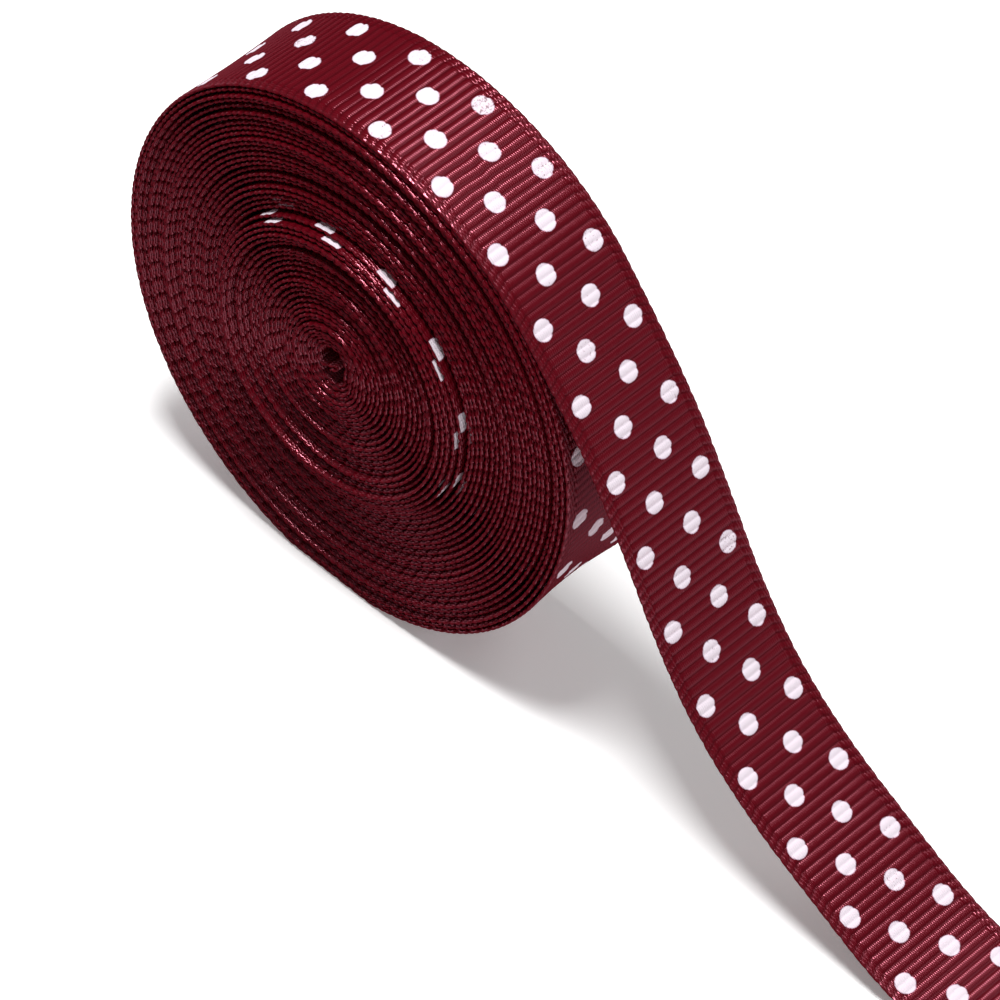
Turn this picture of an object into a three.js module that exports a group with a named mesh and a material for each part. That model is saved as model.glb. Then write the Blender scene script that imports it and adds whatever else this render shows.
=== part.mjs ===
// Roll of grosgrain ribbon: 15 mm wide, wound on itself without a core and standing on its rim. Its
// loose end leaves the roll near the top, arches down beside it and lies out flat over the surface.
//
// Lengths are in millimetres and angles in degrees. +Z is up, +X is the way the loose end runs, and the
// face towards -Y is the one on show. The origin is on the surface, under the roll's axis and halfway
// across the ribbon. Angles around the roll start at its top and turn towards +X.

import * as THREE from 'three';

// Driving sizes

const RIBBON_WIDTH = 15;
const ROLL_RADIUS = 30.9;
const AXIS_HEIGHT = 31.1;
const FLAT_SPOT_HALF_ANGLE = 9;
const DEPARTURE_ANGLE = 45;
const LOOSE_THICKNESS = 1;
const LOOSE_END_X = 104;
const SEAT_GAP = 0.3;
const SEAT_ANGLE = 60;

// Waves that put the outline out of round: how many lobes, how high, and the angle of one crest

const OUT_OF_ROUND = [
  { lobes: 2, height: 0.77, crest: -16 },
  { lobes: 3, height: 0.13, crest: -60 },
  { lobes: 4, height: 0.17, crest: -29 },
];

// Main turns from the eye outwards. Each starts on the departure line at its radius and spirals out to
// the next row's radius in one turn. standsOut is how far its edges lie towards -Y of the outer turns'
// edges, and groove is the depth of the gap on its inner side. The last row is the seat of the loose end.

const MAIN_TURNS = [
  { radius: 0.8, standsOut: 1.5, groove: 0.4 },
  { radius: 2.6, standsOut: 1.8, groove: 0.8 },
  { radius: 5.2, standsOut: 1.9, groove: 0.7 },
  { radius: 8, standsOut: 1.5, groove: 1.5 },
  { radius: 10.2, standsOut: 1.7, groove: 0.8 },
  { radius: 12.2, standsOut: 1.4, groove: 0.9 },
  { radius: 14.2, standsOut: 1.9, groove: 1.7 },
  { radius: 17.2, standsOut: 0.3, groove: 1.5 },
  { radius: 19.8, standsOut: 0.5, groove: 0.8 },
  { radius: 22.2, standsOut: 0.2, groove: 0.9 },
  { radius: 24.6, standsOut: 0.4, groove: 0.8 },
  { radius: 27.2, standsOut: 0.1, groove: 0.9 },
  { radius: ROLL_RADIUS - LOOSE_THICKNESS - SEAT_GAP, standsOut: 0, groove: 0.3 },
];

const EYE_DEPTH = 3;
const GROOVE_HALF_WIDTH = 0.4;
const RIM_ROUNDING = 0.3;
const STEPS_PER_TURN = 60;

// Stretches of the loose end from the roll outwards: the length of each, and the slope below the
// horizontal that it bends to. After the last it curves level onto the surface and lies flat to its cut.

const LOOSE_STRETCHES = [
  { length: 10.4, slope: 48 },
  { length: 10, slope: 55 },
  { length: 10, slope: 57.5 },
  { length: 10, slope: 50 },
  { length: 10, slope: 36.5 },
  { length: 10, slope: 27 },
  { length: 10, slope: 26 },
];

const STATION_SPACING = 2.5;
const SELVEDGE_ROUNDING = 0.25;

const { degToRad, lerp, smoothstep } = THREE.MathUtils;

// One closed body from its points, each [x, y, z], and its faces, each a fan of point numbers

function bodyOf(name, points, faces, material) {
  const index = [];
  for (const face of faces) {
    for (let corner = 2; corner < face.length; corner += 1) {
      index.push(face[0], face[corner - 1], face[corner]);
    }
  }
  const geometry = new THREE.BufferGeometry();
  geometry.setAttribute('position', new THREE.Float32BufferAttribute(points.flat(), 3));
  geometry.setIndex(index);
  geometry.computeVertexNormals();
  const body = new THREE.Mesh(geometry, material);
  body.name = name;
  return body;
}

// Radius of the outermost turn at an angle: the round outline with its waves, and its flat spot

function outlineRadius(angle) {
  if (Math.abs(angle - 180) < FLAT_SPOT_HALF_ANGLE + 0.5) {
    return AXIS_HEIGHT / Math.cos(degToRad(angle - 180));
  }
  let radius = ROLL_RADIUS;
  for (const wave of OUT_OF_ROUND) {
    radius += wave.height * Math.cos(degToRad(wave.lobes * (angle - wave.crest)));
  }
  return radius;
}

// The rim drops past the departure line, as the seat of the loose end, and comes back up to the outline

function rimRadius(angle) {
  const recovered = smoothstep(angle, DEPARTURE_ANGLE, DEPARTURE_ANGLE + SEAT_ANGLE);
  return outlineRadius(angle) - (LOOSE_THICKNESS + SEAT_GAP) * (1 - recovered);
}

// A column of the main turns at a number of turns with a fraction, on the straight line between rows

function alongTurns(column, turns) {
  const row = Math.min(Math.floor(turns), MAIN_TURNS.length - 2);
  return lerp(MAIN_TURNS[row][column], MAIN_TURNS[row + 1][column], turns - row);
}

// The wound roll. Each face is one spiral band: at every step it runs out from the groove on its inner
// side, over its two shoulders, to the groove that it reaches a turn later, and in the last turn to the rim.

function woundRoll(material) {
  const lastStep = (MAIN_TURNS.length - 1) * STEPS_PER_TURN;
  const lastTurnStart = lastStep - STEPS_PER_TURN;
  const points = [];
  const faces = [];

  // The last turn ends at the departure line as it began, a full turn further on
  const angleAt = (step) => DEPARTURE_ANGLE + (360 * (step % STEPS_PER_TURN)) / STEPS_PER_TURN;

  function addPoint(radius, angle, y) {
    const turn = degToRad(angle);
    points.push([radius * Math.sin(turn), y, AXIS_HEIGHT + radius * Math.cos(turn)]);
    return points.length - 1;
  }

  // Inner turns are rounder than the outline: they take its waves by the square of their radius
  function grooveRadius(step) {
    const radius = alongTurns('radius', step / STEPS_PER_TURN);
    return radius + (outlineRadius(angleAt(step)) - ROLL_RADIUS) * (radius / ROLL_RADIUS) ** 2;
  }

  function outerRadius(step) {
    if (step <= lastTurnStart) {
      return grooveRadius(step + STEPS_PER_TURN);
    }
    return step === lastStep ? outlineRadius(DEPARTURE_ANGLE) : rimRadius(angleAt(step));
  }

  // Rows of point numbers, from inner groove to outer groove or rim, for side -1 or +1
  function facePoints(side) {
    const edge = (step) => (side * RIBBON_WIDTH) / 2 - alongTurns('standsOut', step / STEPS_PER_TURN);
    const grooves = [];
    for (let step = 0; step <= lastStep; step += 1) {
      const inside = Math.max(step - STEPS_PER_TURN, 0);
      const lowerEdge = side * Math.min(side * edge(step), side * edge(inside));
      const depth = alongTurns('groove', step / STEPS_PER_TURN);
      grooves.push(addPoint(grooveRadius(step), angleAt(step), lowerEdge - side * depth));
    }
    const rows = [];
    for (let step = 0; step <= lastStep; step += 1) {
      const angle = angleAt(step);
      const innerShoulder = addPoint(grooveRadius(step) + GROOVE_HALF_WIDTH, angle, edge(step));
      const outerShoulder = addPoint(outerRadius(step) - GROOVE_HALF_WIDTH, angle, edge(step));
      const outer = step <= lastTurnStart
        ? grooves[step + STEPS_PER_TURN]
        : addPoint(outerRadius(step), angle, edge(step) - side * RIM_ROUNDING);
      rows.push([grooves[step], innerShoulder, outerShoulder, outer]);
    }
    return rows;
  }

  // A face's band between two steps, and the dimple at the eye, which the first row closes
  function coverFace(rows, side) {
    const towards = (face) => faces.push(side < 0 ? face : face.reverse());
    for (let step = 0; step < lastStep; step += 1) {
      for (let across = 0; across < 3; across += 1) {
        const [near, next] = [rows[step], rows[step + 1]];
        towards([near[across], next[across], next[across + 1], near[across + 1]]);
      }
    }
    const depth = MAIN_TURNS[0].standsOut - side * (RIBBON_WIDTH / 2 - EYE_DEPTH);
    const centre = addPoint(0, 0, -depth);
    const lip = rows.slice(0, STEPS_PER_TURN).map((row) => row[0]);
    lip.push(...[...rows[0]].reverse());
    for (let corner = 1; corner < lip.length; corner += 1) {
      towards([centre, lip[corner], lip[corner - 1]]);
    }
  }

  const shown = facePoints(-1);
  const far = facePoints(1);
  coverFace(shown, -1);
  coverFace(far, 1);

  // The rim, and the small wall at the departure line that the loose end butts against
  for (let step = lastTurnStart; step < lastStep; step += 1) {
    faces.push([shown[step][3], shown[step + 1][3], far[step + 1][3], far[step][3]]);
  }
  for (let across = 0; across < 3; across += 1) {
    const [shownEnd, farEnd] = [shown[lastStep], far[lastStep]];
    faces.push([shownEnd[across], farEnd[across], farEnd[across + 1], shownEnd[across + 1]]);
  }
  return bodyOf('wound_roll', points, faces, material);
}

// The upper side of the loose end as stations with x, z and slope, from the departure line to the cut

function looseEndPath() {
  const start = outlineRadius(DEPARTURE_ANGLE);
  const turn = degToRad(DEPARTURE_ANGLE);
  let station = {
    x: start * Math.sin(turn) + SEAT_GAP * Math.cos(turn),
    z: AXIS_HEIGHT + start * Math.cos(turn) - SEAT_GAP * Math.sin(turn),
    slope: DEPARTURE_ANGLE,
  };
  const stations = [station];

  function bendTo(length, slope) {
    const steps = Math.ceil(length / STATION_SPACING);
    const change = (slope - station.slope) / steps;
    for (let step = 0; step < steps; step += 1) {
      const middle = degToRad(station.slope + change / 2);
      station = {
        x: station.x + (length / steps) * Math.cos(middle),
        z: station.z - (length / steps) * Math.sin(middle),
        slope: station.slope + change,
      };
      stations.push(station);
    }
  }

  for (const stretch of LOOSE_STRETCHES) {
    bendTo(stretch.length, stretch.slope);
  }
  const landing = degToRad(station.slope);
  const landingRadius = (station.z - LOOSE_THICKNESS) / (1 - Math.cos(landing));
  bendTo(landingRadius * landing, 0);
  stations.push({ x: LOOSE_END_X, z: station.z, slope: 0 });
  return stations;
}

// The loose end: a sheet with softened selvedges, carried along its path

function looseEnd(material) {
  const half = RIBBON_WIDTH / 2;
  const inset = half - SELVEDGE_ROUNDING;
  const softened = LOOSE_THICKNESS - SELVEDGE_ROUNDING;
  const section = [
    { y: -inset, below: 0 },
    { y: inset, below: 0 },
    { y: half, below: SELVEDGE_ROUNDING },
    { y: half, below: softened },
    { y: inset, below: LOOSE_THICKNESS },
    { y: -inset, below: LOOSE_THICKNESS },
    { y: -half, below: softened },
    { y: -half, below: SELVEDGE_ROUNDING },
  ];
  const stations = looseEndPath();
  const points = [];
  for (const { x, z, slope } of stations) {
    const turn = degToRad(slope);
    for (const { y, below } of section) {
      points.push([x - below * Math.sin(turn), y, z - below * Math.cos(turn)]);
    }
  }
  const around = section.length;
  const faces = [];
  for (let first = 0; first < points.length - around; first += around) {
    for (let side = 0; side < around; side += 1) {
      const next = (side + 1) % around;
      faces.push([first + side, first + around + side, first + around + next, first + next]);
    }
  }
  const cut = section.map((corner, side) => side);
  faces.push(cut);
  faces.push(cut.map((side) => points.length - 1 - side));
  return bodyOf('loose_end', points, faces, material);
}

const ribbon = { roughness: 0.8, metalness: 0 };
const edges = new THREE.MeshStandardMaterial({ color: 0x4a1522, ...ribbon });
const cloth = new THREE.MeshStandardMaterial({ color: 0x7a1428, ...ribbon });

const group = new THREE.Group();
group.add(woundRoll(edges));
group.add(looseEnd(cloth));

export default group;
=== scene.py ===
"""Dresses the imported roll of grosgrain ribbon: its wound turns, its loose end, their cloth and the stage.

The property groups hold metres. The shape functions work in millimetres in the part's frame: +Z is up,
+X the way the loose end runs, and the face towards -Y is on show. Angles round the roll are in degrees and
start at its top, turning towards +X. The whole ribbon is one line from its folded start in the eye, through
its turns and down the loose end, and each piece is a stretch of that line with the ribbon's section on it.
"""

import math

import bpy
import numpy as np
from bpy.props import FloatProperty, FloatVectorProperty, IntProperty, PointerProperty
from mathutils import Matrix, Vector


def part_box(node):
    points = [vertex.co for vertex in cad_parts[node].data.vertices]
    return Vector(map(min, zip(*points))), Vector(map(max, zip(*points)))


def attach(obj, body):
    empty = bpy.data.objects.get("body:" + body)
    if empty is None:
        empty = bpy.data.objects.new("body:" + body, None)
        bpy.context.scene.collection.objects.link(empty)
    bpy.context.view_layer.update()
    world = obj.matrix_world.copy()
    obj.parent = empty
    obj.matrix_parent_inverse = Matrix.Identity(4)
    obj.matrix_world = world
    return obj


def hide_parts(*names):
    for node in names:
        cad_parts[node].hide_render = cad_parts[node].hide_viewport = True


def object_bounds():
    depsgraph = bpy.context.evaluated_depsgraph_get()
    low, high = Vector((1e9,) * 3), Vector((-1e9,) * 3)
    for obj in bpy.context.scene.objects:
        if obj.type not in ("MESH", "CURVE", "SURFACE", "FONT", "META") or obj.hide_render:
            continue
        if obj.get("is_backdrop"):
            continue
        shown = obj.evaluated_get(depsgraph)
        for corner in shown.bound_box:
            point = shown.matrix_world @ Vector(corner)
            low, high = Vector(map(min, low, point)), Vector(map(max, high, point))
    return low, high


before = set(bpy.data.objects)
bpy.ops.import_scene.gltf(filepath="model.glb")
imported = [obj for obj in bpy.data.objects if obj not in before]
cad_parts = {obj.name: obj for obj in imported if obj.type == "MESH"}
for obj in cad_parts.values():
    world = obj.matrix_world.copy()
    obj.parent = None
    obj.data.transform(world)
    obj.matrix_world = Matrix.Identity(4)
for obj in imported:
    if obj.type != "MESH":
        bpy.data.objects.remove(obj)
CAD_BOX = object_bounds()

bl_info = {
    "name": "Grosgrain Ribbon Roll",
    "version": (1, 0, 0),
    "blender": (4, 5, 0),
    "location": "View3D > Sidebar > Ribbon",
    "description": "Winds a roll of dotted grosgrain ribbon with a loose end, and sets its studio",
    "category": "Add Mesh",
}

MM = 0.001

LOOSE_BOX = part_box("loose_end")
RIBBON_WIDTH = LOOSE_BOX[1].y - LOOSE_BOX[0].y
CUT_END = LOOSE_BOX[1].x

# The outline of the roll, in millimetres and degrees: the height of its axis, where the loose end leaves it,
# and over how much past that the outermost turn comes out to its full radius
AXIS_HEIGHT = 31.1
DEPARTURE_ANGLE = 45
SEAT_ANGLE = 60
STEPS_PER_TURN = 360

# The flat spot: how far it reaches on each side of the bottom, and how much higher it is in a turn for each
# millimetre that the turn lies further in
FLAT_SPOT = {"reach": 30, "rise": 0.87}

# Over about how many turns the outermost turn's way of growing fades inwards
OUTERMOST_FADE = 4

# Waves that put the outline out of round: how many lobes, how high, and the angle of one crest
OUT_OF_ROUND = np.array(
    [(2, 0.77, -16), (3, 0.13, -60), (4, 0.17, -29)],
    dtype=[("lobes", float), ("height", float), ("crest", float)],
)

# Loosely wound places: after how many whole turns in from the departure, the extra gap there, and how far the
# turn outside it stands out and the one inside it has sunk back
LOOSE_PLACES = np.array(
    [
        (1, 0.08, 0.10),
        (3, 0.34, 0.35),
        (6, 0.32, 0.35),
        (11, 0.32, 0.35),
        (15, 0.44, 0.50),
        (18, 0.24, 0.25),
        (20, 0.24, 0.30),
        (23, 0.45, 0.00),
        (28, 0.48, 0.60),
        (31, 0.28, 0.30),
        (34, 0.28, 0.30),
        (37, 0.36, 0.45),
        (39, 0.32, 0.35),
    ],
    dtype=[("turns_in", float), ("gap", float), ("sinks", float)],
)

# The roll is pressed: its gaps are whole along the loose way, and across it mostly shared out among this many
# turns on each side. What sets one turn apart passes to the next on the pressed side, at the change angle. A
# turn's edge starts to change over, and is halfway there, at these shares of a turn from its middle.
LOOSE_WAY = 28
PRESSED_SHARE = 0.75
SHARED_TURNS = 5
CHANGE_ANGLE = 120
CHANGE_SHARE = (DEPARTURE_ANGLE - CHANGE_ANGLE) % 360 / 360 - 0.5
CHANGE_BLEND = (0.3, 0.5)

# How a loose place shows in the edges beside it: how many turns away it is strongest, its mean share round
# the roll, and how much more of it shows along the loose way and less across it
SINKING = {"turns_off": 0.9, "mean": 0.7, "swing": 0.3}

# Unevenness of the turns' spacing and of how far their edges stand out: how many turns lie between its random
# heights, how high they are and their seed. That of the edges starts, and is whole, at these turns in.
WANDER_COLUMNS = [("spacing", float), ("height", float), ("seed", int)]
SPACING_WANDERS = np.array([(0.17, 0.015, 11), (1.3, 0.010, 12)], dtype=WANDER_COLUMNS)
SIDE_WANDERS = np.array([(0.23, 0.12, 21), (0.9, 0.16, 22)], dtype=WANDER_COLUMNS)
SIDE_WANDERS_BEGIN = (0.6, 2.5)

# How far the edges stand out towards the shown face, at whole turns in from the departure
SIDE_STEPS = np.array(
    [
        (0, 0.0),
        (4, 0.1),
        (10, 0.4),
        (15, 0.2),
        (20, 0.5),
        (23, 0.5),
        (24, 1.05),
        (25, 1.6),
        (28, 1.7),
        (32, 1.3),
        (34, 1.1),
        (35, 1.6),
        (39, 1.5),
        (45, 1.9),
        (53, 1.3),
    ],
    dtype=[("turns_in", float), ("stands_out", float)],
)

# Short stretches that stand out more: whole turns in, the angle of their middle, how far they reach on each
# side of it, and by how much
PROUD_PLACES = np.array(
    [(35, 8, 48, 0.5), (8, 215, 40, 0.25), (20, 210, 45, 0.3), (13, 40, 35, 0.25), (42, 215, 50, 0.35)],
    dtype=[("turns_in", float), ("angle", float), ("reach", float), ("stands_out", float)],
)

# Stretches of the loose end from the roll outwards: the length of each and the slope that it bends to
LOOSE_STRETCHES = np.array(
    [(10.4, 48), (10, 55), (10, 57.5), (10, 50), (10, 36.5), (10, 27), (10, 26)],
    dtype=[("length", float), ("slope", float)],
)

# Pieces of the wound ribbon, each from a turn in to a turn out, where None is the ribbon's very start
WOUND_PIECES = {
    "eye_turns": (None, 26.5),
    "inner_turns": (26.5, 16),
    "middle_turns": (16, 8),
    "outer_turns": (8, 1),
}


def smooth_rise(value, low, high):
    """0 below low, 1 above high, and an S-shaped rise in between."""
    share = np.clip((value - low) / (high - low), 0, 1)
    return share * share * (3 - 2 * share)


def hill(distance):
    """Half a cosine wave: 1 at distance 0, falling to 0 at distance 1 on both sides."""
    return 0.5 + 0.5 * np.cos(np.pi * np.clip(np.abs(distance), 0, 1))


def plateau(distance):
    """1 up to a distance of 0.4, 0 beyond 0.6 and S-shaped in between, so plateaus 1 apart add up to 1."""
    return smooth_rise(distance, -0.6, -0.4) - smooth_rise(distance, 0.4, 0.6)


def wander(along, spacing, height, seed):
    """A smooth random wander: seeded random heights at even spacings, joined by S-shaped rises."""
    place = (along - along.min()) / spacing
    knots = np.random.default_rng(seed).uniform(-height, height, int(place.max()) + 2)
    first = place.astype(int)
    rise = smooth_rise(place - first, 0, 1)
    return knots[first] * (1 - rise) + knots[first + 1] * rise


def wanders(along, table):
    """The sum of the smooth random wanders in a table."""
    return sum(wander(along, row["spacing"], row["height"], row["seed"]) for row in table)


def side_step(turns):
    """How far the edges stand out at turns in, on straight lines between the side steps."""
    return np.interp(turns, SIDE_STEPS["turns_in"], SIDE_STEPS["stands_out"])


def outline_wave(angle):
    """How far the outline lies outside its circle: the sum of its cosine waves at each angle."""
    waves = OUT_OF_ROUND
    turned = np.radians(waves["lobes"] * (np.asarray(angle)[..., None] - waves["crest"]))
    return (waves["height"] * np.cos(turned)).sum(-1)


class RibbonSizes(bpy.types.PropertyGroup):
    """Sizes of the ribbon and of the way it is wound."""

    width: FloatProperty(
        name="Width", description="Width of the ribbon", default=RIBBON_WIDTH, unit="LENGTH",
        subtype="DISTANCE",
    )
    thickness: FloatProperty(
        name="Thickness", description="Over the ribs of both sides", default=0.47 * MM, precision=5,
        unit="LENGTH",
    )
    rib_pitch: FloatProperty(
        name="Rib pitch", description="From rib to rib along the ribbon", default=0.98 * MM, precision=5,
        unit="LENGTH",
    )
    rib_height: FloatProperty(
        name="Rib height", description="From valley to crest", default=0.13 * MM, precision=5, unit="LENGTH"
    )
    selvedge: FloatProperty(
        name="Selvedge", description="Width of the woven edge beside the ribs", default=1.3 * MM, precision=5,
        unit="LENGTH",
    )
    roll_radius: FloatProperty(
        name="Roll radius", description="Mean radius of the wound roll", default=30.9 * MM, precision=4,
        unit="LENGTH",
    )
    turns: IntProperty(
        name="Turns", description="Whole turns from the eye to the departure", default=52, min=10
    )
    turn_spacing: FloatProperty(
        name="Turn spacing", description="From turn to turn where they lie tight", default=0.48 * MM,
        precision=5, unit="LENGTH",
    )
    cut_end: FloatProperty(
        name="Cut end", description="How far along X the loose end reaches", default=CUT_END, unit="LENGTH"
    )


class RibbonFinish(bpy.types.PropertyGroup):
    """Colours of the ribbon, with a painted shade for the valleys between its ribs, and of the stage."""

    crest: FloatVectorProperty(
        name="Crests", description="Wine red on the crests of the ribs", subtype="COLOR",
        default=(0.094, 0.0014, 0.0052), min=0, max=1,
    )
    # Painted shade: the valleys between the ribs get this darker colour, which stands in for the shade in
    # them
    valley: FloatVectorProperty(
        name="Valleys", description="Deeper wine red between the ribs", subtype="COLOR",
        default=(0.044, 0.0006, 0.0022), min=0, max=1,
    )
    dot: FloatVectorProperty(
        name="Dots", description="White ink of the dots", subtype="COLOR",
        default=(0.76, 0.69, 0.76), min=0, max=1,
    )
    dot_rim: FloatVectorProperty(
        name="Dot rims", description="Thin ink at the rims of the dots", subtype="COLOR",
        default=(0.34, 0.19, 0.30), min=0, max=1,
    )
    floor: FloatVectorProperty(
        name="Floor", description="Pale studio floor", subtype="COLOR",
        default=(0.96, 0.96, 0.96), min=0, max=1,
    )


def in_mm(value):
    """Metres as millimetres."""
    return value / MM


def wound_turns(sizes):
    """The wound ribbon's upper side, from the eye to the departure, as radius, angle and turns in.

    Each turn lies inside the next at the turn spacing, plus a little wander and the gaps of the loose places.
    Every turn grows outwards by one spacing: the outermost soon after the departure, over the seat angle, and
    the inner ones evenly all the way round. The outline's waves fade with the square of the radius, and the
    eye is drawn out to an oval and slips to one side. Round the bottom no turn reaches below its own level,
    which makes the flat spot.
    """
    count = sizes.turns
    share = np.arange(STEPS_PER_TURN) / STEPS_PER_TURN
    turns_in = np.arange(1, count + 1)[:, None] - share
    angle = np.broadcast_to(DEPARTURE_ANGLE + 360 * share, turns_in.shape)
    run = (count - turns_in)[::-1].ravel()
    uneven = wanders(run, SPACING_WANDERS)
    spacing = in_mm(sizes.turn_spacing) + uneven.reshape(turns_in.shape)[::-1]
    pressed = PRESSED_SHARE * np.sin(np.radians(angle - LOOSE_WAY)) ** 2
    for place in LOOSE_PLACES:
        off = turns_in - CHANGE_SHARE - place["turns_in"]
        shared = hill(off / SHARED_TURNS) / SHARED_TURNS
        spacing = spacing + place["gap"] * (plateau(off) * (1 - pressed) + shared * pressed)
    quick = 1 - smooth_rise(angle, DEPARTURE_ANGLE, DEPARTURE_ANGLE + SEAT_ANGLE)
    outermost = np.exp(-np.maximum(turns_in - 1, 0) / OUTERMOST_FADE)
    seat = spacing[0, -1] * (quick * outermost + (1 - share) * (1 - outermost))
    circle = in_mm(sizes.roll_radius)
    base = circle - seat - (np.cumsum(spacing, axis=0) - spacing)
    oval = EYE_OVAL * np.cos(np.radians(2 * (angle - EYE_LONG_WAY))) * np.exp(-base / EYE_FADE)
    aside = EYE_ASIDE * np.cos(np.radians(angle - EYE_ASIDE_WAY)) * (1 - base / circle)
    radius = base + outline_wave(angle) * (base / circle) ** 2 + oval + aside
    off_bottom = angle % 360 - 180
    reach = FLAT_SPOT["reach"]
    depth = AXIS_HEIGHT - FLAT_SPOT["rise"] * (circle - base)
    level = depth / np.cos(np.radians(np.clip(off_bottom, -reach, reach)))
    radius = np.where(np.abs(off_bottom) < reach, np.minimum(radius, level), radius)
    ends = circle + outline_wave(DEPARTURE_ANGLE), DEPARTURE_ANGLE + 360, 0
    return [np.append(part[::-1].ravel(), end) for part, end in zip((radius, angle, turns_in), ends)]


# The eye: the angle of its long way, how much its oval is drawn out, over what radius that fades outwards,
# how far and which way the turns' middle has slipped there, and where the first turn starts
EYE_LONG_WAY = 162
EYE_OVAL = 0.65
EYE_FADE = 4
EYE_ASIDE = 0.8
EYE_ASIDE_WAY = -56
FIRST_TURN_ANGLE = 270

# The ribbon's folded start across the eye: the angle that it lies at, half the distance between its two
# layers, how far they reach from the eye's middle to the free end, the fold and the place where the second
# layer bends off, and how far the curve from there is drawn along the layer and along the first turn. Below
# is the number of points on each part of it.
FOLD = {"angle": 55, "half_gap": 0.25, "free_end": -0.7, "fold": 0.42, "bends_off": -0.3, "pull_out": 0.6,
        "pull_in": 0.7}
FOLD_POINTS = {"lower": 24, "bend": 16, "upper": 16, "bend_off": 24}

# The waist, a guess that closes the roll to light from face to face: how far the middle of a wound turn lies
# nearer the axis than its edges, how far past the departure it begins, how far before the departure it is
# whole, and how much of the folded start has none
WAIST = {"depth": 0.5, "begins": 30, "whole": 180, "fold": 2.0}


class RibbonLine:
    """The middle line of the ribbon in the X-Z plane, with its length past the departure, heading, sideways
    place and waist at each point."""

    def __init__(self, sizes):
        half = in_mm(sizes.thickness) / 2
        self.pitch = in_mm(sizes.rib_pitch)
        skipped = (FIRST_TURN_ANGLE - DEPARTURE_ANGLE) * STEPS_PER_TURN // 360
        radius, angle, turns_in = (part[skipped:] for part in wound_turns(sizes))
        turned = np.radians(angle)
        wound = np.c_[(radius - half) * np.sin(turned), AXIS_HEIGHT + (radius - half) * np.cos(turned)]
        start = folded_start(wound)
        tail = loose_line(sizes, wound[-1], heading_of(wound[-3:])[-1])
        points = np.vstack([start, wound, tail])
        self.x, self.z = points.T
        self.length = np.append(0, np.cumsum(np.hypot(*np.diff(points, axis=0).T)))
        self.heading = heading_of(points)
        first, last = len(start), len(start) + len(wound) - 1
        self.length -= self.length[last]
        self.turns_in = np.concatenate([np.full(first, turns_in[0]), turns_in, np.full(len(tail), 0)])
        self.side = self.sideways()
        self.waist = self.waisted(self.length[first])

    def sideways(self):
        """How far the ribbon stands out towards the shown face.

        Each turn stands out by its side step, and half the difference to its neighbour's is blended in where
        one passes to the other. Proud places are added as hills. Beside each loose place the turn outside it
        stands out and the one inside it sinks back. Last come random wanders, from just inside the outermost
        turn.
        """
        whole = np.round(self.turns_in - CHANGE_SHARE)
        near, before, after = (side_step(whole + turns) for turns in (0, 1, -1))
        past = self.turns_in - CHANGE_SHARE - whole
        steps = near + (before - near) * 0.5 * smooth_rise(past, *CHANGE_BLEND)
        steps += (after - near) * 0.5 * smooth_rise(-past, *CHANGE_BLEND)
        for place in PROUD_PLACES:
            off = self.turns_in - place["turns_in"] - (DEPARTURE_ANGLE - place["angle"]) % 360 / 360
            steps += place["stands_out"] * hill(off * 360 / place["reach"])
        turned = np.arctan2(self.x, self.z - AXIS_HEIGHT) - math.radians(LOOSE_WAY)
        loose = SINKING["mean"] + SINKING["swing"] * np.cos(2 * turned)
        beside = SINKING["turns_off"]
        for place in LOOSE_PLACES:
            off = past + whole - place["turns_in"]
            steps += place["sinks"] * loose * (hill(off + beside) - hill(off - beside))
        uneven = wanders(self.turns_in.max() - self.turns_in, SIDE_WANDERS)
        return steps + uneven * smooth_rise(self.turns_in, *SIDE_WANDERS_BEGIN)

    def waisted(self, first_turn):
        """How far the ribbon's middle sinks: the waist's depth, with an S-shaped start round the departure
        and another along the folded start, up to the length where the first turn begins."""
        begun = smooth_rise(-self.length, -WAIST["begins"], WAIST["whole"])
        run = self.length - self.length[0]
        past_fold = smooth_rise(run, WAIST["fold"], first_turn - self.length[0])
        return WAIST["depth"] * begun * past_fold

    def at_turns_in(self, turns):
        """Length of the rib crest that is nearest to that many turns in from the departure."""
        wound = self.length <= 0
        return round(np.interp(-turns, -self.turns_in[wound], self.length[wound]) / self.pitch) * self.pitch

    def place(self, length):
        """X, Z, heading, sideways place and waist at each length."""
        parts = self.x, self.z, self.heading, self.side, self.waist
        return [np.interp(length, self.length, part) for part in parts]


def heading_of(points):
    """Direction of a line at each of its points, as the unwrapped angle of its slope in radians."""
    way = np.gradient(points, axis=0)
    return np.unwrap(np.arctan2(way[:, 1], way[:, 0]))


def bezier(start, pull_start, pull_end, end, count):
    """Points on a cubic curve from start to end, drawn towards the two pulls, without its last point."""
    share = np.linspace(0, 1, count, endpoint=False)[:, None]
    rest = 1 - share
    return (
        rest ** 3 * start
        + 3 * rest ** 2 * share * pull_start
        + 3 * rest * share ** 2 * pull_end
        + share ** 3 * end
    )


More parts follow.
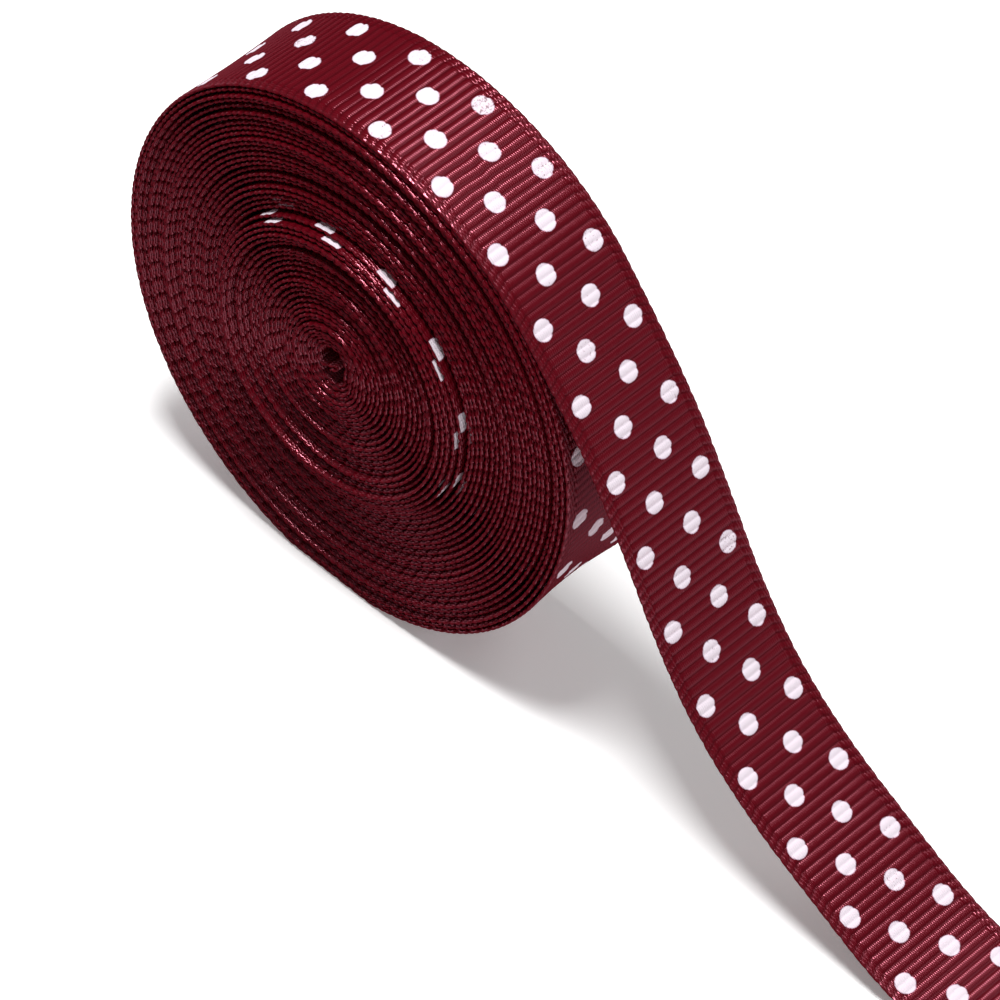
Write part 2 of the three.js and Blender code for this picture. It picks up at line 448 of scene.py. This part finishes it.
def folded_start(wound):
    """The folded start of the ribbon across the eye: out along one layer, round half a circle and back along
    the other, then on a curve into the first turn."""
    turned = math.radians(FOLD["angle"])
    out = np.array([math.sin(turned), math.cos(turned)])
    above = np.array([-out[1], out[0]])
    centre = wound[:STEPS_PER_TURN].mean(axis=0)
    gap = FOLD["half_gap"]
    reach = np.linspace(FOLD["free_end"], FOLD["fold"], FOLD_POINTS["lower"])[:-1, None]
    lower = centre + out * reach - above * gap
    bend = np.linspace(-math.pi / 2, math.pi / 2, FOLD_POINTS["bend"])[:, None]
    fold = centre + out * (FOLD["fold"] + gap * np.cos(bend)) + above * gap * np.sin(bend)
    reach = np.linspace(FOLD["fold"], FOLD["bends_off"], FOLD_POINTS["upper"])[1:, None]
    upper = centre + out * reach + above * gap
    way_in = (wound[1] - wound[0]) / np.hypot(*(wound[1] - wound[0]))
    pull_out = upper[-1] - out * FOLD["pull_out"]
    pull_in = wound[0] - way_in * FOLD["pull_in"]
    bend_off = bezier(upper[-1], pull_out, pull_in, wound[0], FOLD_POINTS["bend_off"])
    return np.vstack([lower, fold, upper, bend_off[1:]])


def loose_line(sizes, start, heading):
    """The loose end's middle line: its slope changes evenly along each stretch, then an arc lands it on the
    floor, where it runs level to its cut."""
    step = 0.25
    knots = np.append(0, np.cumsum(LOOSE_STRETCHES["length"]))
    slopes = np.radians(np.append(-math.degrees(heading), LOOSE_STRETCHES["slope"]))

    def run(middles):
        return np.c_[np.cos(middles), -np.sin(middles)] * step

    length = np.arange(step / 2, knots[-1], step)
    hung = start + np.cumsum(run(np.interp(length, knots, slopes)), axis=0)
    rest = in_mm(sizes.thickness) / 2
    radius = (hung[-1, 1] - rest) / (1 - math.cos(slopes[-1]))
    landing = np.arange(step / 2, radius * slopes[-1], step)
    landed = hung[-1] + np.cumsum(run(slopes[-1] - landing / radius), axis=0)
    landed[:, 1] = np.maximum(landed[:, 1], rest)
    level = np.arange(landed[-1, 0] + step, in_mm(sizes.cut_end) + step, step)
    level[-1] = in_mm(sizes.cut_end)
    return np.vstack([hung, landed, np.c_[level, np.full(len(level), rest)]])


# The section of the running ribbon and of the wound turns: its points on the upper and the lower side, as
# distances from each edge, to which one halfway is added, how deep the edge's beads are cut as a share of the
# ribs' depth, how far in its rounding reaches, and how many sections there are to a rib
RUNNING_SECTION = {
    "upper": [0.06, 0.22, 0.5, 0.8, 1.05, 1.2, 1.32, 1.5, 4.0, 6.6],
    "lower": [0.06, 0.3, 0.8, 1.3, 5.0],
    "bead_depth": 0.15,
    "rounding": 0.30,
    "steps_per_rib": 8,
}
WOUND_SECTION = {
    "upper": [0.05, 0.17, 1.4],
    "lower": [0.05],
    "bead_depth": 1.1,
    "rounding": 0.25,
    "steps_per_rib": 6,
}

# The power of the cosine that shapes a crest, and the angle from which an edge of the mesh is shaded sharp
CREST_POWER = 0.75
SHARP_ANGLE = 70

# How far every second bead of the edge stands out, where the weft turns back, how uneven the beads are and
# the seed of that
WEFT_LOOP = 0.03
UNEVEN_BEADS = 0.02
BEAD_SEED = 31

# A few ribs just past the top are wavy: the middle of them, how far they reach on each side of it, and the
# length and height of their waves
WAVY_RIBS = {"middle": -15.0, "reach": 5.0, "wave": 4.5, "height": 0.13}

# Grooves along the selvedge: how far in from the edge, how wide and how deep
GROOVES = np.array(
    [(1.2, 0.09, 0.10), (0.22, 0.08, 0.04)],
    dtype=[("inward", float), ("wide", float), ("deep", float)],
)


class Section:
    """The ribbon's cross-section as points round it: out along the upper side from the near edge to the far
    one and back along the lower side, with half an oval for each edge that reaches in by the rounding. The
    bow is a parabola that is 1 in the middle and 0 at the edges."""

    def __init__(self, sizes, places):
        width = in_mm(sizes.width)
        half = in_mm(sizes.thickness) / 2
        band = in_mm(sizes.selvedge)
        near_upper, near_lower = np.array(places["upper"]), np.array(places["lower"])
        upper = np.concatenate([near_upper, [width / 2], width - near_upper[::-1]])
        lower = np.concatenate([near_lower, [width / 2], width - near_lower[::-1]])
        across = np.concatenate([[0], upper, [width], lower[::-1]])
        side = np.concatenate([[0], np.ones(len(upper)), [0], -np.ones(len(lower))])
        edge = np.minimum(across, width - across)
        lean = np.clip(1 - edge / places["rounding"], 0, 1)
        rise = np.sqrt(1 - lean ** 2)
        self.around = np.where(side < 0, 2 * width - across, across)
        self.across = across - width / 2
        self.bow = 1 - (2 * self.across / width) ** 2
        self.height = side * half * rise
        self.out_up = side * rise
        self.out_across = np.sign(across - width / 2) * lean
        inward = 0.5 * np.clip(1 - edge / band, 0, 1)
        self.twist = np.where(side < 0, 1 - inward, np.where(side > 0, inward, 0.5))
        off = (edge[:, None] - GROOVES["inward"]) / GROOVES["wide"]
        self.groove = (GROOVES["deep"] * np.exp(-off ** 2)).sum(-1)
        self.bead_depth = places["bead_depth"]
        self.steps_per_rib = places["steps_per_rib"]
        self.width = width


def ribbed_ribbon(name, line, section, sizes, lengths):
    """A stretch of the ribbon as a closed mesh: its section carried along the line.

    Each rib is a crest the shape of a rectified cosine wave to a power, so valleys are creases. In the
    selvedges the ribs twist by half a rib on each side of the edge, like strands laid round a rope. At the
    edge itself they are uneven beads, and every second one stands out by the weft's loop. Across its width a
    wound turn sinks towards the axis as a parabola, by the waist in its middle.
    """
    pitch = in_mm(sizes.rib_pitch)
    first, last = (round(length / pitch * section.steps_per_rib) for length in lengths)
    phase = np.arange(first, last + 1)[:, None] / section.steps_per_rib
    length = phase * pitch + np.zeros_like(section.across)
    wave = WAVY_RIBS["height"] * np.sin(2 * np.pi * section.around / WAVY_RIBS["wave"])
    length += wave * hill((length - WAVY_RIBS["middle"]) / WAVY_RIBS["reach"])
    x, z, heading, side, waist = line.place(length)
    crest = np.abs(np.cos(np.pi * (phase - section.twist))) ** CREST_POWER
    sunk = in_mm(sizes.rib_height) * (1 - crest) + section.groove
    up = section.height - sunk * section.out_up - waist * section.bow
    stands_out = WEFT_LOOP * np.cos(np.pi * phase) + wander(phase, 1.0, UNEVEN_BEADS, BEAD_SEED)
    across = section.across + (stands_out - sunk * section.bead_depth) * section.out_across - side
    points = np.stack([x - np.sin(heading) * up, across, z + np.cos(heading) * up], -1)
    quads, caps, flat = ribbon_faces(phase * pitch - PRINT_START, section)
    return mesh_object(name, points.reshape(-1, 3) * MM, quads, caps, flat * MM)


def ribbon_faces(along, section):
    """Faces of sections in a row: four-sided ones between them and a cap at each end. With them comes the
    place of each face's corners on the flat ribbon, as the length along it and the way round the section."""
    rows, around = len(along), len(section.across)
    corner = np.arange(rows * around).reshape(rows, around)
    beside = np.roll(corner, -1, axis=1)
    quads = np.stack([corner[:-1], beside[:-1], beside[1:], corner[1:]], -1).reshape(-1, 4)
    along = np.broadcast_to(along, corner.shape)
    round_start = np.broadcast_to(section.around, corner.shape)
    round_end = np.roll(round_start, -1, axis=1).copy()
    round_end[:, -1] = 2 * section.width
    flat = np.stack(
        [
            np.stack([along[:-1], round_start[:-1]], -1),
            np.stack([along[:-1], round_end[:-1]], -1),
            np.stack([along[1:], round_end[1:]], -1),
            np.stack([along[1:], round_start[1:]], -1),
        ],
        axis=2,
    ).reshape(-1, 2)
    caps = [corner[0][::-1], corner[-1]]
    cap_flat = [
        np.stack([np.full(around, along[row, 0]), section.around[order]], -1)
        for row, order in ((0, slice(None, None, -1)), (-1, slice(None)))
    ]
    return quads, caps, np.vstack([flat, *cap_flat])


def mesh_object(name, points, quads, caps, flat):
    """A smooth-shaded mesh from points, four-sided faces and two caps, with the flat ribbon as its UV map."""
    mesh = bpy.data.meshes.new(name)
    corners = np.concatenate([quads.ravel(), *caps]).astype(np.int32)
    sizes = np.concatenate([np.full(len(quads), 4), [len(cap) for cap in caps]])
    starts = np.append(0, np.cumsum(sizes)[:-1]).astype(np.int32)
    mesh.vertices.add(len(points))
    mesh.vertices.foreach_set("co", points.astype(np.float32).ravel())
    mesh.loops.add(len(corners))
    mesh.loops.foreach_set("vertex_index", corners)
    mesh.polygons.add(len(sizes))
    mesh.polygons.foreach_set("loop_start", starts)
    mesh.update(calc_edges=True)
    layer = mesh.uv_layers.new(name="Ribbon")
    layer.uv.foreach_set("vector", flat.astype(np.float32).ravel())
    mesh.shade_smooth()
    mesh.set_sharp_from_angle(angle=math.radians(SHARP_ANGLE))
    mesh.validate()
    piece = bpy.data.objects.new(name, mesh)
    bpy.context.scene.collection.objects.link(piece)
    return piece


# The dots: where the print starts past the departure, the first column from the near edge, from column to
# column and how many there are, the first row past the print's start, from row to row, by what share of that
# each column is set on from the last, and the radius of a dot
PRINT_START = 0.7
DOTS = {"first_column": 2.267, "column": 3.387, "columns": 4, "first_row": 42.424, "row": 8.49,
        "stagger": 0.497, "radius": 1.16}

# Where the print ran off the near edge: between which turns in, by how much, and over what lengths outside
# and inside those turns it drifts off and back
DRIFT = {"turns_in": (25.4, 22.4), "off": 1.75, "outside": 90, "inside": 40}

# The ink: how ragged its rim is by noise, fibres, threads and valleys, how soft its rim is, how wide and how
# strong the thin ink there is, and from where to where it starts at the ribbon's edge
INK = {"noise": 0.05, "fibre": 0.05, "thread": 0.03, "valley": 0.05, "soft": 0.03, "thin": 0.06,
       "thin_share": 0.6, "starts": (0.16, 0.22)}

# The specks where ink is missing: the power and height of their random share in a dot and the offset of those
# random numbers, what they gain on top of the roll, where the dots are worn, and how many more lie towards
# the valleys between the ribs, the noise from which they start and at which they are full, and how much ink
# they take off
WEAR = {"power": 4, "dots": 0.25, "offset": (7, 3), "on_top": 0.24, "valleys": 0.12, "range": (0.38, 0.56),
        "takes": 0.7}

# The worn stretch on top of the roll, past the print's start: where it begins, is whole, wanes and ends
WORN_TOP = {"begins": -42, "whole": -24, "wanes": -15, "ends": -4}

# The selvedge: from how far in the cloth is ribbed again, and from where outwards it is all selvedge
RIBBED_FROM = 1.30
SELVEDGE_TO = 1.20

# From warp thread to warp thread
WARP_SPACING = {"ribs": 0.25, "selvedge": 0.32}

# The scale, detail and roughness of each noise
NOISES = {"fibre": (5.0, 3, 0.6), "patch": (0.35, 2, 0.5), "ragged": (2.2, 2, 0.5), "speck": (3.6, 4, 0.7)}

# The cloth's colour between the valley and crest colours, which is painted shade and random tone: its least,
# and what relief, fibres, patches and threads add. Relief and threads paint shade into the valleys between
# the ribs and the creases between the threads; fibres and patches are random tone.
TONE_AND_PAINTED_SHADE = {"least": 0.2, "relief": 0.8, "fibre": 0.14, "patch": 0.08, "thread": 0.20}

# The raised finish: the height of the threads, what they gain in the selvedge, their share in the valleys and
# what it gains up to the crests, and the height of fibres and ink
RAISED = {"thread": 0.037, "selvedge": 0.02, "valley": 0.4, "crest": 0.6, "fibre": 0.005, "ink": 0.012}

# The roughness of the cloth, and what fibres and ink add to it
ROUGHNESS = {"cloth": 0.22, "fibre": 0.04, "ink": 0.26}

# How much of the light the dyed threads mirror, on the ribs, at the matt outermost edge and more on the beads
# beside it, and its colour
SATIN_SHINE = {"ribs": 0.055, "edge": 0.012, "beads": 0.055}
SATIN_TINT = (1.0, 0.30, 0.40, 1.0)

# How far in from the edge the shine is that of the ribs, and where that of the beads rises and falls
SHINE_PLACES = {"ribs": 0.12, "beads_rise": (0.03, 0.10), "beads_fall": (0.45, 0.22)}


class Sock:
    """A number on a node socket. Python's operators on it add Math nodes to its finish."""

    def __init__(self, finish, socket):
        self.finish = finish
        self.socket = socket

    def math(self, operation, *others):
        return self.finish.number("ShaderNodeMath", {"operation": operation}, self, *others)

    def __add__(self, other):
        return self.math("ADD", other)

    __radd__ = __add__

    def __sub__(self, other):
        return self.math("SUBTRACT", other)

    def __rsub__(self, other):
        return self.finish.number("ShaderNodeMath", {"operation": "SUBTRACT"}, other, self)

    def __mul__(self, other):
        return self.math("MULTIPLY", other)

    __rmul__ = __mul__

    def __truediv__(self, other):
        return self.math("DIVIDE", other)

    def __pow__(self, other):
        return self.math("POWER", other)

    def __mod__(self, other):
        return self.math("FLOORED_MODULO", other)

    def __abs__(self):
        return self.math("ABSOLUTE")

    def __round__(self):
        return self.math("ROUND")

    def below(self, other):
        return self.math("LESS_THAN", other)

    def at_most(self, other):
        return self.math("MINIMUM", other)

    def at_least(self, other):
        return self.math("MAXIMUM", other)

    def ridge(self):
        """1 at whole numbers and 0 halfway between them: the size of a cosine."""
        return abs((self * math.pi).math("COSINE"))

    def rise(self, low, high):
        """0 below low, 1 above high, smooth in between, and the other way round where low is above high."""
        node = self.finish.node(
            "ShaderNodeMapRange",
            {"interpolation_type": "SMOOTHSTEP"},
            {"Value": self, "From Min": min(low, high), "From Max": max(low, high)},
        )
        grown = Sock(self.finish, node.outputs["Result"])
        return grown if low < high else 1 - grown


class Finish:
    """A material under construction, with one method that adds any node."""

    def __init__(self, name):
        self.material = bpy.data.materials.new(name)
        self.material.use_nodes = True
        self.tree = self.material.node_tree
        self.tree.nodes.clear()

    def node(self, kind, settings=None, sockets=None):
        """Adds a node: its settings first, then the values or links of its sockets, by name or number."""
        node = self.tree.nodes.new(kind)
        for key, value in (settings or {}).items():
            setattr(node, key, value)
        for key, value in (sockets or {}).items():
            if isinstance(value, Sock):
                value = value.socket
            if isinstance(value, bpy.types.NodeSocket):
                self.tree.links.new(value, node.inputs[key])
            else:
                node.inputs[key].default_value = value
        return node

    def number(self, kind, settings, *values):
        """A node whose sockets are the values in order, and its first output as a number."""
        return Sock(self, self.node(kind, settings, dict(enumerate(values))).outputs[0])

    def point(self, x, y):
        """A vector from two numbers, with a Z of 0."""
        return self.node("ShaderNodeCombineXYZ", None, {0: x, 1: y}).outputs[0]

    def noise(self, vector, scale, detail, roughness=0.5):
        """Cloudy noise of about -1 to 1 at a scale per unit of the vector."""
        node = self.node(
            "ShaderNodeTexNoise",
            None,
            {"Vector": vector, "Scale": scale, "Detail": detail, "Roughness": roughness},
        )
        return Sock(self, node.outputs["Fac"]) * 2 - 1

    def random(self, vector):
        """One random number from 0 to 1 for each vector."""
        node = self.node("ShaderNodeTexWhiteNoise", {"noise_dimensions": "2D"}, {"Vector": vector})
        return Sock(self, node.outputs["Value"])

    def mix(self, share, first, second):
        """A colour that goes from first to second with share."""
        node = self.node("ShaderNodeMix", {"data_type": "RGBA", "clamp_factor": True})
        for key, value in (("Factor_Float", share), ("A_Color", first), ("B_Color", second)):
            socket = next(s for s in node.inputs if s.identifier == key)
            value = value.socket if isinstance(value, Sock) else value
            if isinstance(value, bpy.types.NodeSocket):
                self.tree.links.new(value, socket)
            else:
                socket.default_value = (*value, 1) if key != "Factor_Float" and len(value) == 3 else value
        return next(s for s in node.outputs if s.identifier == "Result_Color")


def grosgrain(sizes, colours, drifted):
    """The ribbon's finish, drawn on the flat ribbon in millimetres.

    The ribs' crests and the twisted strands of the selvedges are the same waves as in the mesh, and the
    colour is painted darker towards their valleys as shade. Warp threads cross each rib, a half step over
    from rib to rib, and are coarser in the selvedges; the creases between them are painted darker as shade
    too. The dots are discs on a staggered lattice with slightly ragged rims. They lie on the upper side only,
    end short of the very edge, and are worn in specks, most of all in the far column on top of the roll.
    """
    cloth = Finish("grosgrain")
    width = in_mm(sizes.width)
    flat = cloth.node("ShaderNodeUVMap", {"uv_map": "Ribbon"}).outputs["UV"]
    parts = cloth.node("ShaderNodeSeparateXYZ", None, {0: flat})
    along = Sock(cloth, parts.outputs[0]) / MM
    around = Sock(cloth, parts.outputs[1]) / MM
    across = width - abs(around - width)
    edge = width / 2 - abs(across - width / 2)
    spot = cloth.point(along, around)

    ribs = (along + PRINT_START) / in_mm(sizes.rib_pitch)
    number = round(ribs)
    selvedge = edge.rise(RIBBED_FROM, SELVEDGE_TO)
    inward = (1 - edge / in_mm(sizes.selvedge)).at_least(0) * 0.5
    lower = 1 - around.below(width)
    twist = inward + lower * (1 - 2 * inward)
    crest = ribs.ridge()
    strand = (ribs - twist).ridge()
    relief = crest + selvedge * (strand - crest)

    fine = (across / WARP_SPACING["ribs"] + (number % 2) * 0.5).ridge()
    coarse = (across / WARP_SPACING["selvedge"] + (number % 2) * 0.5).ridge()
    thread = fine + selvedge * (coarse - fine)
    fibre = cloth.noise(spot, *NOISES["fibre"])
    patch = cloth.noise(spot, *NOISES["patch"])

    start, stop = drifted
    drift_off = along.rise(start - DRIFT["outside"], start + DRIFT["inside"])
    drift_back = along.rise(stop + DRIFT["outside"], stop - DRIFT["inside"])
    drift = drift_off * drift_back * DRIFT["off"]
    over = across + drift - DOTS["first_column"]
    column = round(over / DOTS["column"]).at_least(0).at_most(DOTS["columns"] - 1)
    off_across = over - column * DOTS["column"]
    down = (along - DOTS["first_row"]) / DOTS["row"] - column * DOTS["stagger"]
    row = round(down)
    off_along = (down - row) * DOTS["row"]
    away = (off_along * off_along + off_across * off_across).math("SQRT")
    ragged = cloth.noise(spot, *NOISES["ragged"]) * INK["noise"]
    ragged = ragged + fibre * INK["fibre"] + (thread - 0.5) * INK["thread"]
    radius = DOTS["radius"] + ragged - (1 - relief) ** 2 * INK["valley"]
    printed = around.below(width) * edge.rise(*INK["starts"])
    ink = (away - radius).rise(INK["soft"], -INK["soft"]) * printed
    rim = (away - radius + INK["thin"]).rise(-INK["thin"], INK["soft"]) * INK["thin_share"]
    top = along.rise(WORN_TOP["begins"], WORN_TOP["whole"]) * along.rise(WORN_TOP["ends"], WORN_TOP["wanes"])
    on_top = top * (column - DOTS["columns"] + 2).at_least(0)
    dot_number = cloth.point(column + WEAR["offset"][0], row + WEAR["offset"][1])
    worn = cloth.random(dot_number) ** WEAR["power"] * WEAR["dots"] + on_top * WEAR["on_top"]
    speck = cloth.noise(spot, *NOISES["speck"]) + worn + (1 - relief) * WEAR["valleys"]
    ink = ink * (1 - speck.rise(*WEAR["range"]) * WEAR["takes"])

    # Painted shade: darker towards the valleys between the ribs and between the threads; fibres and patches
    # add random tone
    shade = relief * TONE_AND_PAINTED_SHADE["relief"] + TONE_AND_PAINTED_SHADE["least"] + fibre * TONE_AND_PAINTED_SHADE["fibre"] + patch * TONE_AND_PAINTED_SHADE["patch"]
    shade = shade + (thread - 0.5) * TONE_AND_PAINTED_SHADE["thread"]
    wine = cloth.mix(shade, (*colours.valley, 1), (*colours.crest, 1))
    white = cloth.mix(rim, (*colours.dot, 1), (*colours.dot_rim, 1))
    colour = cloth.mix(ink, wine, white)

    height = thread * (RAISED["thread"] + selvedge * RAISED["selvedge"])
    height = height * (RAISED["valley"] + relief * RAISED["crest"])
    height = (height + fibre * RAISED["fibre"] + ink * RAISED["ink"]) * MM
    bump = cloth.node(
        "ShaderNodeBump", None, {"Strength": 1.0, "Distance": 1.0, "Height": height}
    ).outputs["Normal"]
    roughness = ROUGHNESS["cloth"] + fibre * ROUGHNESS["fibre"] + ink * ROUGHNESS["ink"]
    body = cloth.node(
        "ShaderNodeBsdfPrincipled",
        None,
        {"Base Color": colour, "Roughness": roughness, "Normal": bump, "Specular IOR Level": 0.0},
    ).outputs["BSDF"]
    gloss = cloth.node(
        "ShaderNodeBsdfAnisotropic", None, {"Color": SATIN_TINT, "Roughness": roughness, "Normal": bump}
    ).outputs["BSDF"]
    gained = SATIN_SHINE["ribs"] - SATIN_SHINE["edge"]
    shine = edge.rise(0.0, SHINE_PLACES["ribs"]) * gained + SATIN_SHINE["edge"]
    beads = edge.rise(*SHINE_PLACES["beads_rise"]) * edge.rise(*SHINE_PLACES["beads_fall"])
    shine = shine + beads * SATIN_SHINE["beads"]
    surface = cloth.node("ShaderNodeMixShader", None, {0: shine, 1: body, 2: gloss}).outputs["Shader"]
    cloth.node("ShaderNodeOutputMaterial", None, {"Surface": surface})
    return cloth.material


def ribbon_cloth(line):
    """The one ribbon finish, made the first time it is asked for."""
    scene = bpy.context.scene
    drifted = [line.at_turns_in(turns) - PRINT_START for turns in DRIFT["turns_in"]]
    made = bpy.data.materials.get("grosgrain")
    return made or grosgrain(scene.ribbon_sizes, scene.ribbon_finish, drifted)


class RIBBON_OT_wound_turns(bpy.types.Operator):
    """Winds the turns of the roll, from the folded start in the eye to the last turn but one"""

    bl_idname = "ribbon.wound_turns"
    bl_label = "Wind the turns"

    def execute(self, context):
        sizes = context.scene.ribbon_sizes
        line = RibbonLine(sizes)
        section = Section(sizes, WOUND_SECTION)
        for name, (turn_in, turn_out) in WOUND_PIECES.items():
            start = line.length[0] if turn_in is None else line.at_turns_in(turn_in)
            lengths = start, line.at_turns_in(turn_out)
            piece = ribbed_ribbon(name, line, section, sizes, lengths)
            piece.data.materials.append(ribbon_cloth(line))
            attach(piece, "root")
            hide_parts("wound_roll")
            sizes.width
            (lengths[1] - lengths[0]) * MM
        return {"FINISHED"}


class RIBBON_OT_running_end(bpy.types.Operator):
    """Lays the outermost turn and the loose end, in one stretch of ribbon"""

    bl_idname = "ribbon.running_end"
    bl_label = "Lay the loose end"

    def execute(self, context):
        sizes = context.scene.ribbon_sizes
        line = RibbonLine(sizes)
        section = Section(sizes, RUNNING_SECTION)
        lengths = line.at_turns_in(1), line.length[-1]
        piece = ribbed_ribbon("loose_end_ribbon", line, section, sizes, lengths)
        piece.data.materials.append(ribbon_cloth(line))
        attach(piece, "root")
        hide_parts("loose_end")
        sizes.width
        (lengths[1] - lengths[0]) * MM
        return {"FINISHED"}


# The camera: its turn round the object, its elevation, its roll, what it aims at, how far off it is, its
# focal length and the width of its sensor
CAMERA = {"azimuth": 37.0, "elevation": 48.34, "roll": 7.95, "aim": (17.14, -1.79, 20.65), "distance": 680.7,
          "lens": 245.2, "sensor": 36}

# Soft lights: the way to each, its distance, the side of its panel and its power in watts
LIGHTS = {
    "overhead_panel": {"way": (-0.05, -0.11, 1.0), "distance": 900, "side": 240, "power": 10.2},
    "back_panel": {"way": (0.15, 0.9, 0.55), "distance": 900, "side": 500, "power": 2.0},
}
SKY_STRENGTH = 0.18

# The floor: its side and how far it lies below the roll, in metres, the scale and detail of its grain, the
# share of its colour that the grain darkens it to, its roughness, its mirroring and its own glow
FLOOR = {"side": 4, "drop": 0.00002, "grain": 40, "detail": 3, "shade": 0.985, "roughness": 0.9,
         "specular": 0.1, "glow": 0.18}


def turned_camera(settings):
    """The camera's place: out from its aim along azimuth and elevation, and rolled on its line of sight."""
    azimuth, elevation, roll = (math.radians(settings[key]) for key in ("azimuth", "elevation", "roll"))
    back = Vector(
        (
            math.sin(azimuth) * math.cos(elevation),
            -math.cos(azimuth) * math.cos(elevation),
            math.sin(elevation),
        )
    )
    level = Vector((math.cos(azimuth), math.sin(azimuth), 0))
    above = back.cross(level)
    right = level * math.cos(roll) + above * math.sin(roll)
    up = above * math.cos(roll) - level * math.sin(roll)
    turned = Matrix((right, up, back)).transposed().to_4x4()
    place = (Vector(settings["aim"]) + back * settings["distance"]) * MM
    return Matrix.Translation(place) @ turned


class RIBBON_OT_stage(bpy.types.Operator):
    """Sets the pale floor, the soft lights and the camera"""

    bl_idname = "ribbon.stage"
    bl_label = "Set the stage"

    def execute(self, context):
        scene = context.scene
        scene.view_settings.view_transform = "Standard"
        colours = scene.ribbon_finish
        bpy.ops.mesh.primitive_plane_add(size=FLOOR["side"], location=(0, 0, -FLOOR["drop"]))
        floor = context.object
        floor.name = "floor"
        paper = Finish("studio_paper")
        place = paper.node("ShaderNodeTexCoord").outputs["Object"]
        grain = paper.noise(place, FLOOR["grain"], FLOOR["detail"])
        darker = [part * FLOOR["shade"] for part in colours.floor]
        tone = paper.mix(0.5 + grain * 0.5, (*darker, 1), (*colours.floor, 1))
        surface = paper.node(
            "ShaderNodeBsdfPrincipled",
            None,
            {
                "Base Color": tone,
                "Roughness": FLOOR["roughness"],
                "Specular IOR Level": FLOOR["specular"],
                "Emission Color": (1.0, 1.0, 1.0, 1.0),
                "Emission Strength": FLOOR["glow"],
            },
        )
        paper.node("ShaderNodeOutputMaterial", None, {"Surface": surface.outputs["BSDF"]})
        floor.data.materials.append(paper.material)
        floor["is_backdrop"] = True

        for name, panel in LIGHTS.items():
            light = bpy.data.lights.new(name, "AREA")
            light.shape = "SQUARE"
            light.size = panel["side"] * MM
            light.energy = panel["power"]
            lamp = bpy.data.objects.new(name, light)
            way = Vector(panel["way"]).normalized()
            lamp.location = Vector((0, 0, AXIS_HEIGHT * MM)) + way * panel["distance"] * MM
            lamp.rotation_euler = way.to_track_quat("Z", "Y").to_euler()
            scene.collection.objects.link(lamp)

        world = bpy.data.worlds.new("studio")
        world.use_nodes = True
        sky = world.node_tree.nodes["Background"]
        sky.inputs["Color"].default_value = (1, 1, 1, 1)
        sky.inputs["Strength"].default_value = SKY_STRENGTH
        scene.world = world

        lens = bpy.data.cameras.new("camera")
        lens.lens = CAMERA["lens"]
        lens.sensor_width = CAMERA["sensor"]
        lens.clip_start = 0.01
        camera = bpy.data.objects.new("camera", lens)
        camera.matrix_world = turned_camera(CAMERA)
        scene.collection.objects.link(camera)
        scene.camera = camera
        return {"FINISHED"}


class RIBBON_PT_roll(bpy.types.Panel):
    """Lists the steps that dress the roll"""

    bl_label = "Ribbon roll"
    bl_idname = "RIBBON_PT_roll"
    bl_space_type = "VIEW_3D"
    bl_region_type = "UI"
    bl_category = "Ribbon"

    def draw(self, context):
        for operator in (RIBBON_OT_stage, RIBBON_OT_wound_turns, RIBBON_OT_running_end):
            self.layout.operator(operator.bl_idname)
        for group in (context.scene.ribbon_sizes, context.scene.ribbon_finish):
            for key in group.__annotations__:
                self.layout.prop(group, key)


CLASSES = (
    RibbonSizes,
    RibbonFinish,
    RIBBON_OT_stage,
    RIBBON_OT_wound_turns,
    RIBBON_OT_running_end,
    RIBBON_PT_roll,
)


def register():
    for cls in CLASSES:
        bpy.utils.register_class(cls)
    bpy.types.Scene.ribbon_sizes = PointerProperty(type=RibbonSizes)
    bpy.types.Scene.ribbon_finish = PointerProperty(type=RibbonFinish)


def unregister():
    del bpy.types.Scene.ribbon_finish
    del bpy.types.Scene.ribbon_sizes
    for cls in reversed(CLASSES):
        bpy.utils.unregister_class(cls)


def main():
    register()
    bpy.ops.ribbon.stage()
    bpy.ops.ribbon.wound_turns()
    bpy.ops.ribbon.running_end()
    boxes = {"cad": CAD_BOX, "visual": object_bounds()}
    {name: [list(corner) for corner in box] for name, box in boxes.items()}


if __name__ == "__main__":
    main()
